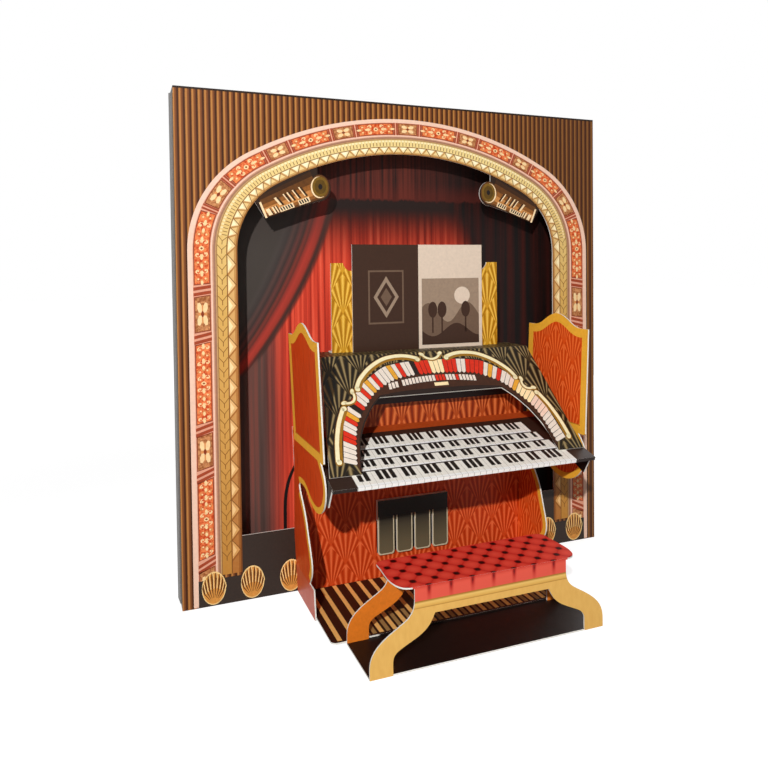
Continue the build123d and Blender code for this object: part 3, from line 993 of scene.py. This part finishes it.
# Fallboard: fans, with painted shade above them where the stop rail's shadow falls
fan_foot = 56.0
fan_top = 63.5
fall = front_sheet("key_desk", "desk_print", panel_y - fallboard_reach)
paint = Paint("fall_fans")
fall_colours = ((120, 36, 6), (206, 106, 54), (164, 66, 22))
fans = fan_pattern(paint, paint.x, paint.z - fan_foot, fall_colours, 10.0, 8.6)
# Painted shade: the dark colour above fan_top stands in for the stop rail's shadow
under_painted_shade = paint.z.smooth(fan_top + 0.1, fan_top - 0.1)
fall.base("fall_print", paint.finish(paint.mix(under_painted_shade, (34, 12, 8), fans)))

# Sloping stop rail and console roof
rail_foot_height = desk_front_height + (desk_front - rail_foot) * math.tan(desk_tilt) + card
rail_rise = roof_height - rail_foot_height
rail_run = rail_foot - roof_front
rail_length = math.hypot(rail_rise, rail_run)
rail_up = (0, rail_run / rail_length, rail_rise / rail_length)
rail = Sheet("stop_rail", "rail_print", (0, roof_front_y, roof_height), (1, 0, 0), rail_up)


def rail_places(paint):
    """Places across and up the slope, counted from the roof."""
    return paint.x, (paint.z - roof_height) * (rail_length / rail_rise)


rail_colours = ((16, 10, 3), (146, 126, 86), (50, 38, 18))
rail.base("rail_fans", fan_print("rail_fans", rail_places, rail_colours, row=7.4))
roof = top_sheet("stop_rail", "rail_print", roof_front_y, roof_height)
roof_colours = ((16, 10, 3), (132, 112, 74), (50, 38, 18))
roof.base("roof_print", fan_print("roof_fans", lambda p: (p.x, p.y - roof_front_y), roof_colours))


def toward(a, b, share):
    """Place between two points."""
    return a[0] + (b[0] - a[0]) * share, a[1] + (b[1] - a[1]) * share


def even_line(points, count):
    """Points at even distances along a line of points."""
    lengths = [0.0]
    for a, b in zip(points, points[1:]):
        lengths.append(lengths[-1] + math.dist(a, b))
    spaced = []
    index = 0
    for want in span(0, lengths[-1], count):
        while index < len(points) - 2 and lengths[index + 1] < want:
            index += 1
        share = (want - lengths[index]) / (lengths[index + 1] - lengths[index])
        spaced.append(toward(points[index], points[index + 1], min(1.0, max(0.0, share))))
    return spaced


def smooth_line(spots):
    """Fine line that passes smoothly through all the spots."""
    spots = [Vector(spot) for spot in spots]
    line = []
    padded = [spots[0], *spots, spots[-1]]
    for a, b, c, d in zip(padded, padded[1:], padded[2:], padded[3:]):
        for t in span(0.0, 0.9, 10):
            ends = b * (1 - t) ** 2 * (1 + 2 * t) + c * t**2 * (3 - 2 * t)
            slopes = (c - a) * (t * (1 - t) ** 2) - (d - b) * (t**2 * (1 - t))
            line.append(tuple(ends + slopes / 2))
    line.append(tuple(spots[-1]))
    return line


def bow_line(half_spots, count):
    """Even points along a smooth horseshoe, from its left foot over the crown to its right foot.

    The spots are (across, drop) pairs of the right half, from the crown to the foot.
    """
    right_half = [(across, -drop) for across, drop in half_spots]
    left_half = [(-across, up) for across, up in right_half[:0:-1]]
    return even_line(smooth_line(left_half + right_half), count)


def beside(line, offset):
    """Line at a distance to the left of a line of points."""
    moved = []
    for before, here, after in zip(line[:1] + line[:-1], line, line[1:] + line[-1:]):
        along = (Vector(after) - Vector(before)).normalized()
        moved.append((here[0] - along.y * offset, here[1] + along.x * offset))
    return moved


# Stop tabs in an arc round the horseshoe opening, one letter for each tab's ink and k for a gap
ink("rail_black", (30, 18, 12), 0.25)
ink("rail_brown", (58, 31, 17), 0.25)
ink("moulding_shade", (148, 104, 30), 0.1)
ink("moulding_cream", (238, 227, 184), 0.05)
ink("tab_white", (228, 214, 200), 0.06)
ink("tab_cream", (252, 222, 172), 0.05)
ink("tab_pink", (236, 204, 184), 0.05)
ink("tab_red", (208, 48, 28), 0.1)
ink("tab_yellow", (222, 158, 52), 0.1)
tab_inks = {"w": "tab_white", "r": "tab_red", "y": "tab_yellow", "c": "tab_cream", "p": "tab_pink"}
tab_order = "wwwwrrwwryw" "krwwrwywrwwwywrww" "krrrcccrrrwwrrrrwywrwwp" "yccccppppwwwwww"
tab_steps = 4  # points of each line to a tab
line_count = len(tab_order) * tab_steps + 1

# Right halves of the lines through the tabs' noses and heels, and of the opening's curved side
nose_spots = (
    (0, 8.4), (8, 8.7), (14.4, 9.7), (20, 12.2), (24, 15.2),
    (29.2, 21.7), (31.2, 25.4), (32.8, 31.7), (33.7, 36.8),
)
heel_spots = (
    (0, 3.4), (9, 3.6), (14.5, 4.3), (18.7, 5.5), (25.8, 10.4),
    (29.7, 14.6), (33.4, 19.6), (35.4, 25.5), (37.4, 35.5),
)
mouth_spots = ((horseshoe_top_half, horseshoe_drop), (25.2, 19.4), (28.4, 24.0), (31.1, 29.6))

tabs = Print("stop_print", rail)
nose_line = bow_line(nose_spots, line_count)
heel_line = bow_line(heel_spots, line_count)
tabs.strip("rail_black", beside(heel_line, 0.4), nose_line, 1)
mouth = [(-horseshoe_foot_half, -rail_length + 0.02)]
mouth += [(-across, -drop) for across, drop in mouth_spots[::-1]]
mouth += [(-across, up) for across, up in mouth[::-1]]
mouth_line = even_line(mouth, line_count)
tabs.strip("rail_brown", nose_line, mouth_line, 1)
mouth_rim = [toward(m, n, 0.24) for m, n in zip(mouth_line, nose_line)]
tabs.strip("rail_black", mouth_rim, mouth_line, 2)
for number, letter in enumerate(tab_order):
    if letter == "k":
        continue
    first = number * tab_steps
    last = first + tab_steps
    near = [toward(nose_line[first], nose_line[last], share) for share in (0.06, 0.5, 0.94)]
    far = [toward(heel_line[first], heel_line[last], share) for share in (0.04, 0.96)]
    tip = toward(near[1], toward(far[0], far[1], 0.5), -0.05)
    shoulders = [toward(near[0], far[0], 0.06), toward(near[2], far[1], 0.06)]
    tabs.shape(tab_inks[letter], [shoulders[0], tip, shoulders[1], far[1], far[0]], 2)

# Short second row of tabs, and a blank plate under it
short_order = "wwwkwwwwwwwwwwrrrwwwrwwwww"
short_pitch = 1.2
short_half = 0.46
short_height = 2.1
short_middle = -2.2
short_top = -9.2
short_bow = 0.0065
plate = (-2.0, -13.2, 2.9, -12.0)  # left, low, right and high
for number, letter in enumerate(short_order):
    if letter == "k":
        continue
    middle = (number - (len(short_order) - 1) / 2) * short_pitch + short_middle
    top = short_top - short_bow * middle**2
    tabs.box(tab_inks[letter], middle - short_half, top - short_height, middle + short_half, top, 3)
tabs.box("tab_cream", *plate, 3)

# Cream moulding in four runs, with a small swag between upturned tips where they meet
upper_run = (
    (28.0, -12.3), (26.1, -9.0), (22.1, -5.2), (17.2, -2.5), (12.7, -1.6), (8.8, -1.8), (5.2, -2.9),
)
lower_run = ((33.7, -18.6), (36.1, -23.7), (37.8, -29.5), (38.7, -35.3))
moulding_half = 1.15
swag_line = ((-1, 0.8), (-0.6, -0.5), (0, -1.1), (0.6, -0.5), (1, 0.8))
swag_tip = 1.0
side_swag = (30.9, -15.5)
side_swag_turn = 0.83
side_swag_half = 2.5
crown_swag = (0, -2.1)
crown_swag_half = 3.3


def moulding_run(line, half):
    """Rounded moulding along a line that has its outer side on the left."""
    tabs.strip("rail_black", beside(line, half + 0.4), beside(line, half), 2)
    tabs.strip("moulding_shade", beside(line, half), beside(line, -half), 3)
    tabs.strip("moulding_cream", beside(line, half * 0.85), beside(line, -half * 0.2), 4)
    for tip in (line[0], line[-1]):
        tabs.round("moulding_shade", tip, half, half, 3)
        tabs.round("moulding_cream", tip, half * 0.7, half * 0.7, 4)


def swag(middle, angle, half):
    """Small swag along an angle, hanging between two upturned tips."""

    def on_swag(along, out):
        u, v = turned(along, out, angle)
        return middle[0] + u, middle[1] + v

    line = smooth_line([on_swag(half * share, out) for share, out in swag_line])
    tabs.strip("moulding_shade", beside(line, 0.55), beside(line, -0.75), 5)
    tabs.strip("moulding_cream", beside(line, 0.45), beside(line, -0.3), 6)
    for way in (-1, 1):
        tip = on_swag(way * half, swag_tip)
        tabs.round("moulding_shade", tip, 1.15, 0.8, 5, 14, angle + way * 0.5)
        tabs.round("moulding_cream", tip, 0.95, 0.6, 6, 14, angle + way * 0.5)


for side in (-1, 1):
    for spots in (upper_run, lower_run):
        line = smooth_line([(side * across, up) for across, up in spots])
        outer_on_left = (spots is lower_run) == (side == 1)
        moulding_run(line if outer_on_left else line[::-1], moulding_half)
    swag((side * side_swag[0], side_swag[1]), -side * side_swag_turn, side_swag_half)
swag(crown_swag, 0.0, crown_swag_half)
tabs.done()

# Key desk: dark wood with an orange strip along the fallboard, and ivory key fronts on its hem
white_keys = 36
keys_half = 35.9  # of the front manual
strip_depth = 28.4
desk_place = (0, desk_front_y, desk_front_height)
desk_up = (0, math.cos(desk_tilt), math.sin(desk_tilt))
desk = Sheet("key_desk", "desk_print", desk_place, (1, 0, 0), desk_up)
paint = Paint("desk_wood")
depth = (paint.y - desk_front_y) / math.cos(desk_tilt)
desk_orange = paint.mix(paint.noise(0.9, 0.9, 0.9, 3.0), (150, 56, 16), (178, 76, 30))
desk_brown = paint.mix(paint.noise(0.4, 2.0, 1.0, 3.0), (34, 20, 15), (54, 36, 29))
on_strip = depth.smooth(strip_depth - 0.1, strip_depth + 0.1)
desk.base("desk_print", paint.finish(paint.mix(on_strip, desk_brown, desk_orange)))

hem_up = (0, -math.sin(desk_tilt), math.cos(desk_tilt))
hem = Sheet("key_desk", "desk_print", desk_place, (1, 0, 0), hem_up)
paint = Paint("hem_keys")
key_edge = (paint.x / (2 * keys_half / white_keys)).fraction().smooth(0.05, 0.1)
ivory = paint.mix(key_edge, (186, 178, 166), (250, 248, 242))
on_keys = abs(paint.x).smooth(keys_half + 0.1, keys_half)
hem.base("hem_print", paint.finish(paint.mix(on_keys, (36, 24, 19), ivory)))

# Painted shade: the desk's end tabs are printed black on both faces, so that they stay as dark as the
# shadowed right end of the desk
desk_half = highest("key_desk", "x")
for side, word in SIDES:
    outer_tab = side_sheet("key_desk", "desk_print", side * desk_half, side)
    outer_tab.base(f"{word}_desk_tab_outer", inks["black_ink"])
    inner_tab = side_sheet("key_desk", "desk_print", side * (desk_half - card), -side)
    inner_tab.base(f"{word}_desk_tab_inner", inks["black_ink"])

# Four manuals, narrower towards the rear: front, rear and first note of each
manuals = ((0.0, 7.1, 0), (7.6, 12.9, 3), (13.4, 18.4, 4), (18.9, 25.6, 0))
manual_taper = 0.3
manual_lean = 0.06
black_key_notes = (0, 1, 3, 4, 5)  # of the seven white keys, those with a black key behind them
black_key_half = 0.0095  # shares of the manual's width
key_gap_half = 0.0006
ink("key_white", (244, 240, 230), 0.04)
ink("key_front", (253, 252, 248), 0.02)
ink("key_gap", (160, 150, 138), 0.1)
ink("key_black", (26, 20, 17), 0.2)
keys = Print("key_print", desk)


def key_strip(colour, front, rear, start, end, low, high, layer):
    """Part of a manual, between two shares of its width and two shares of its depth."""
    half = keys_half - manual_taper * front
    middle = manual_lean * front
    left = middle + half * (start * 2 - 1)
    right = middle + half * (end * 2 - 1)
    deep = rear - front
    keys.box(colour, left, front + deep * low, right, front + deep * high, layer)


for front, rear, first_note in manuals:
    key_strip("key_white", front, rear, 0, 1, 0, 1, 1)
    key_strip("key_front", front, rear, 0, 1, 0, 0.13, 2)
    for key in range(1, white_keys):
        share = key / white_keys
        key_strip("key_gap", front, rear, share - key_gap_half, share + key_gap_half, 0, 1, 3)
        if (key - 1 + first_note) % 7 in black_key_notes:
            left = share - black_key_half
            right = share + black_key_half
            key_strip("key_black", front, rear, left, right, 0.36, 1, 4)
keys.done()

# Music rest, and a song sheet with a lozenge on one leaf and a landscape on the other
rest_colours = ((164, 110, 12), (236, 188, 80), (204, 148, 38))
rest_fans = fan_print("rest_fans", lambda p: (p.x, p.z), rest_colours, 9.0, 6.6)
front_sheet("music_rest", "rest_print").base("rest_print", rest_fans)
ink("sheet_dark", (56, 35, 24), 0.08)
ink("sheet_brown", (104, 82, 66), 0.08)
ink("sheet_mid", (150, 128, 108), 0.08)
ink("sheet_pale", (216, 196, 176), 0.05)
lozenge = ((0, -7.0), (4.6, 0), (0, 7.0), (-4.6, 0))
lozenge_height = 18.0
frame_half = 6.5
frame_rise = 9.0
picture_margin = 1.2
picture_top = 24.0
tree_places = (4.0, 7.5, 16.5)


def song_leaf(side, word, colour):
    """One leaf of the song sheet in its ground colour, ready to print on."""
    lean = -side * math.sin(sheet_fold)
    fold_place = (0, lowest("music_rest", "y") - glue_gap - card, roof_height)
    across = (math.cos(sheet_fold), lean, 0)
    out = (lean, -math.cos(sheet_fold), 0)
    leaf = Sheet("song_sheet", "sheet_print", fold_place, across, (0, 0, 1), out)
    leaf.base(f"{word}_leaf_base", inks[colour])
    return Print(f"{word}_leaf_print", leaf)


def framed_lozenge(leaf, middle):
    """Lozenge in three tones inside a thin frame."""
    for colour, inset, layer in (("sheet_brown", 0.0, 1), ("sheet_dark", 0.6, 2)):
        half = frame_half - inset
        low = lozenge_height - frame_rise + inset
        high = lozenge_height + frame_rise - inset
        leaf.box(colour, middle - half, low, middle + half, high, layer)
    tones = ((1.0, "sheet_mid"), (0.72, "sheet_dark"), (0.44, "sheet_brown"))
    for layer, (size, colour) in enumerate(tones, 3):
        outline = [(middle + u * size, lozenge_height + v * size) for u, v in lozenge]
        leaf.shape(colour, outline, layer)


def landscape(leaf):
    """Moon over two hills and a few trees."""
    low = left = picture_margin
    right = sheet_half - picture_margin
    leaf.box("sheet_mid", left, low, right, picture_top, 1)
    leaf.round("sheet_pale", (right - 6.5, picture_top - 6.0), 3.0, 3.0, 2, 24)
    for colour, height, swell, pace, start, layer in (
        ("sheet_brown", 11, 3.4, 0.42, 0.6, 3),
        ("sheet_dark", 5, 2.2, 0.36, 3.2, 4),
    ):
        ridge = [
            (left + u, low + height + swell * math.sin(u * pace + start))
            for u in span(0, right - left, 19)
        ]
        leaf.shape(colour, [(left, low), (right, low), *ridge[::-1]], layer)
    for place in tree_places:
        foot = low + 6
        leaf.box("sheet_dark", left + place - 0.3, foot - 2, left + place + 0.3, foot + 4, 4)
        leaf.round("sheet_dark", (left + place, foot + 6.0), 1.7, 2.8, 5, 16)


left_leaf = song_leaf(-1, "left", "sheet_dark")
framed_lozenge(left_leaf, -sheet_half / 2)
left_leaf.done()
right_leaf = song_leaf(1, "right", "sheet_pale")
landscape(right_leaf)
right_leaf.done()

# Swell pedals with a beige rim round each, under a dark bar that is partly painted shade, and a grey that
# darkens upwards in painted shade under the key desk
swell_corner = 1.0
pedal_half = 3.0
pedal_rim = 0.42
bar_half = 13.2
bar_low = 22.4
bar_high = 27.98
swell = front_sheet("swell_pedals", "swell_print")
paint = Paint("swell_grey")
# Painted shade: the grey darkens towards the top, under the key desk
tone = paint.z.smooth(9.0, 24.0)
grey_with_painted_shade = paint.ramp(tone, (0.0, (98, 86, 64)), (0.75, (66, 58, 44)), (1.0, (30, 24, 20)))
swell.base("swell_print", paint.finish(grey_with_painted_shade))
ink("swell_beige", (190, 176, 146), 0.08)
ink("swell_dark_and_painted_shade", (30, 24, 20), 0.2)
swell_rims = Print("swell_rims", swell)
for number in range(4):
    middle = swell_middle + (number - 1.5) * swell_pitch
    left = middle - pedal_half
    outline = [(left, bar_low), (left, swell_foot + swell_corner)]
    for angle in span(0.2, 1.4, 4):
        across = left + swell_corner * (1 - math.cos(angle))
        outline.append((across, swell_foot + swell_corner * (1 - math.sin(angle))))
    outline += [(2 * middle - u, v) for u, v in outline[::-1]]
    shrink = (pedal_half - pedal_rim) / pedal_half
    inset = [(middle + (u - middle) * shrink, v if v == bar_low else v + pedal_rim) for u, v in outline]
    swell_rims.strip("swell_beige", outline, inset, 1)
# Dark bar: partly the plate's own dark print, partly painted shade under the key desk
swell_rims.box("swell_dark_and_painted_shade", swell_middle - bar_half, bar_low, swell_middle + bar_half, bar_high, 2)
swell_rims.done()

# Pedalboard: long and short pedals, and a front edge that is white at its left end and dark past it in
# painted shade
pedal_pitch = 4.3
pedal_count = 9  # long pedals to each side of the middle one
long_half = 0.7
long_rear = -3.2
pedals_front = -37.2
short_left = 1.5
short_right = 2.8
short_rear = -26.5
edge_white = -27.0
pedals = top_sheet("pedalboard", "pedal_print", panel_y, highest("pedalboard", "z"))
pedals.base("pedal_base", ink("pedal_brown", (40, 19, 11), 0.3))
ink("pedal_tan", (248, 184, 104), 0.08)
ink("pedal_olive", (158, 122, 72), 0.1)
stripes = Print("pedal_stripes", pedals)
for i in range(-pedal_count, pedal_count + 1):
    middle = i * pedal_pitch
    stripes.box("pedal_tan", middle - long_half, pedals_front, middle + long_half, long_rear, 1)
    if abs(i) < pedal_count - 1:
        stripes.box("pedal_olive", middle + short_left, pedals_front, middle + short_right, short_rear, 1)
stripes.done()
# Painted shade: the front edge is dark past edge_white, where it lies in shadow
paint = Paint("pedal_edge", 0.6)
past_white_into_painted_shade = paint.x.smooth(edge_white - 0.5, edge_white + 0.5)
edge_with_painted_shade = paint.finish(paint.mix(past_white_into_painted_shade, (226, 222, 212), (24, 13, 9)))
front_sheet("pedalboard", "pedal_print").base("pedal_edge", edge_with_painted_shade)

# Bench: black floor, and a seat with diamond tufting
button_pitch = 6.6
button_row = 3.55
bench_floor = top_sheet("bench", "bench_print", bench_front_y, card)
bench_floor.base("bench_floor", ink("bench_black", (20, 11, 9), 0.3))


def tufting(paint, along):
    """Diamond tufting: puffs between buttons at every second crossing."""
    across = paint.x / button_pitch
    rows = along / (2 * button_row)
    one = abs(((across + rows) * math.pi).run("SINE"))
    two = abs(((across - rows) * math.pi).run("SINE"))
    puff = (one * two).run("SQRT")
    button = (one * one + two * two).smooth(0.07, 0.6)
    shade = (puff * 0.45 + 0.55) * button
    return paint.ramp(
        shade, (0.0, (34, 3, 3)), (0.35, (134, 12, 9)), (0.65, (212, 42, 32)), (1.0, (240, 76, 58))
    )


paint = Paint("seat_tufts")
seat_red = paint.finish(tufting(paint, paint.y - bench_front_y + 0.2))
top_sheet("bench", "bench_print", bench_front_y, bench_height).base("bench_seat", seat_red)

# Bench front: cushion edge, rail and tan legs over the white edge of the floor sheet
bench_rail_top = 18.5
bench_rail_low = 16.5
paint = Paint("bench_front")
pleat = (paint.x / button_pitch + 0.5).fraction()
pleat = (abs(pleat - 0.5) * 2.0).smooth(0.0, 0.3)
pleat_depth = paint.z.smooth(bench_rail_top + 0.2, bench_height)
pleat_shade = 1.0 - (1.0 - pleat) * (pleat_depth * 0.8 + 0.2)
cushion = paint.ramp(pleat_shade, (0.1, (92, 10, 9)), (0.5, (190, 48, 40)), (1.0, (226, 88, 70)))
cushion = paint.mix(paint.z.smooth(bench_height - 1.2, bench_height) * 0.5, cushion, (190, 34, 28))
bench_rail = paint.ramp(
    (paint.z - bench_rail_low) / (bench_rail_top - bench_rail_low),
    (0.0, (178, 126, 52)),
    (0.2, (222, 170, 84)),
    (0.66, (236, 192, 106)),
    (0.9, (166, 114, 44)),
)
paint.colour = paint.mix(paint.noise(0.8, 0.8, 0.3, 3.0), (220, 166, 84), (236, 188, 102))
paint.lay(paint.z.smooth(bench_rail_low - 0.05, bench_rail_low + 0.05), bench_rail)
paint.lay(paint.z.smooth(bench_rail_top - 0.05, bench_rail_top + 0.05), cushion)
between_legs = abs(paint.x).smooth(leg_foot_half + 0.1, leg_foot_half)
paint.lay(between_legs * paint.z.smooth(card + 0.05, card - 0.01), (238, 235, 228))
front_sheet("bench", "bench_print").base("bench_front", paint.finish(paint.colour))
rear_panel = front_sheet("bench", "bench_print", panel_y - bench_rear - card)
rear_panel.base("bench_rear", ink("bench_orange", (216, 116, 32), 0.08))

# Outside of the box: grey back and flaps, black side walls
grey = ink("outside_grey", (112, 107, 104), 0.06, 0.5)
flap_half = highest("backdrop", "x")
for side, word in SIDES:
    side_sheet("backdrop", "curtain_print", side * flap_half, side).base(f"{word}_flap", grey)
    wall = side_sheet("proscenium", "stage_print", side * panel_half, side)
    wall.base(f"{word}_wall", inks["black_ink"])
front_sheet("backdrop", "curtain_print").base("flap_edges", grey)
back = Sheet("backdrop", "curtain_print", (0, backdrop_y + card, 0), (-1, 0, 0), (0, 0, 1))
back.base("card_back", grey)

# Camera at the photograph's place, with its picture shifted a little upwards
picture_size = 768  # pixels
focal_length = 690.4
picture_shift = -94.0
camera_place = (-96.2, panel_y - 224.2, 106.4)
yaw_right = math.radians(21.13)
pitch_down = math.radians(1.49)
roll_right = math.radians(0.67)
camera = bpy.data.objects.new("camera", bpy.data.cameras.new("camera"))
camera.data.sensor_width = 36.0
camera.data.lens = focal_length / picture_size * camera.data.sensor_width
camera.data.shift_y = picture_shift / picture_size
camera.data.clip_start = 0.01
camera.matrix_world = (
    Matrix.Translation(Vector(camera_place) * MM)
    @ Matrix.Rotation(-yaw_right, 4, "Z")
    @ Matrix.Rotation(math.pi / 2 - pitch_down, 4, "X")
    @ Matrix.Rotation(-roll_right, 4, "Z")
)
bpy.context.scene.collection.objects.link(camera)
bpy.context.scene.camera = camera


def add_lamp(name, kind, watts, place):
    """Lamp at a place in millimetres."""
    lamp = bpy.data.objects.new(name, bpy.data.lights.new(name, kind))
    lamp.data.energy = watts
    lamp.location = Vector(place) * MM
    bpy.context.scene.collection.objects.link(lamp)
    return lamp


# Key lamp above the camera and to its left, and a wide soft lamp behind the card on its right
key_lamp = add_lamp("key_lamp", "POINT", 13.0, (-275, panel_y - 470, 300))
key_lamp.data.shadow_soft_size = 0.006
fill_lamp = add_lamp("fill_lamp", "AREA", 2.4, (420, panel_y + 230, 90))
fill_lamp.data.size = 0.5
fill_aim = Vector((0, 0, 80)) * MM - fill_lamp.location
fill_lamp.rotation_euler = fill_aim.to_track_quat("-Z", "Y").to_euler()


def background_rays(tree):
    """1 for rays that see the background, from the camera or by way of gloss or glass."""
    rays = tree.nodes.new("ShaderNodeLightPath")
    found = Field(tree, rays.outputs["Is Camera Ray"])
    for name in ("Is Glossy Ray", "Is Transmission Ray"):
        found = found.run("MAXIMUM", Field(tree, rays.outputs[name]))
    return found


# White room with a little even light
world = bpy.data.worlds.new("room")
bpy.context.scene.world = world
world.use_nodes = True
sky = world.node_tree.nodes["Background"]
sky_level = background_rays(world.node_tree).choose(0.1, 1.0)
world.node_tree.links.new(sky_level.socket, sky.inputs["Strength"])
sky.inputs["Color"].default_value = (1.0, 1.0, 1.0, 1.0)

# White floor that keeps the shadow near the card, in metres
floor_half = 3.0
floor_low = -0.00005
corners = ((-1, -1), (1, -1), (1, 1), (-1, 1))
floor_mesh = bpy.data.meshes.new("floor")
floor_points = [(x * floor_half, y * floor_half, floor_low) for x, y in corners]
floor_mesh.from_pydata(floor_points, [], [(0, 1, 2, 3)])
floor = bpy.data.objects.new("floor", floor_mesh)
bpy.context.scene.collection.objects.link(floor)
floor_look = bpy.data.materials.new("floor_white")
floor_look.use_nodes = True
floor_tree = floor_look.node_tree
floor_tree.nodes.clear()
matt = floor_tree.nodes.new("ShaderNodeBsdfDiffuse")
matt.inputs["Color"].default_value = (0.4, 0.4, 0.4, 1.0)
glow = floor_tree.nodes.new("ShaderNodeEmission")
both = floor_tree.nodes.new("ShaderNodeAddShader")
surface = floor_tree.nodes.new("ShaderNodeOutputMaterial")
floor_spot = floor_tree.nodes.new("ShaderNodeTexCoord")
distance = floor_tree.nodes.new("ShaderNodeVectorMath")
distance.operation = "LENGTH"
floor_tree.links.new(floor_spot.outputs["Object"], distance.inputs[0])
far_off = Field(floor_tree, distance.outputs["Value"]).smooth(0.2, 0.5)
floor_level = background_rays(floor_tree) * far_off.choose(0.8, 1.0)
floor_tree.links.new(floor_level.socket, glow.inputs["Strength"])
floor_tree.links.new(matt.outputs[0], both.inputs[0])
floor_tree.links.new(glow.outputs[0], both.inputs[1])
floor_tree.links.new(both.outputs[0], surface.inputs["Surface"])
floor_mesh.materials.append(floor_look)

bpy.context.scene.view_settings.view_transform = "Standard"

bpy.context.view_layer.update()
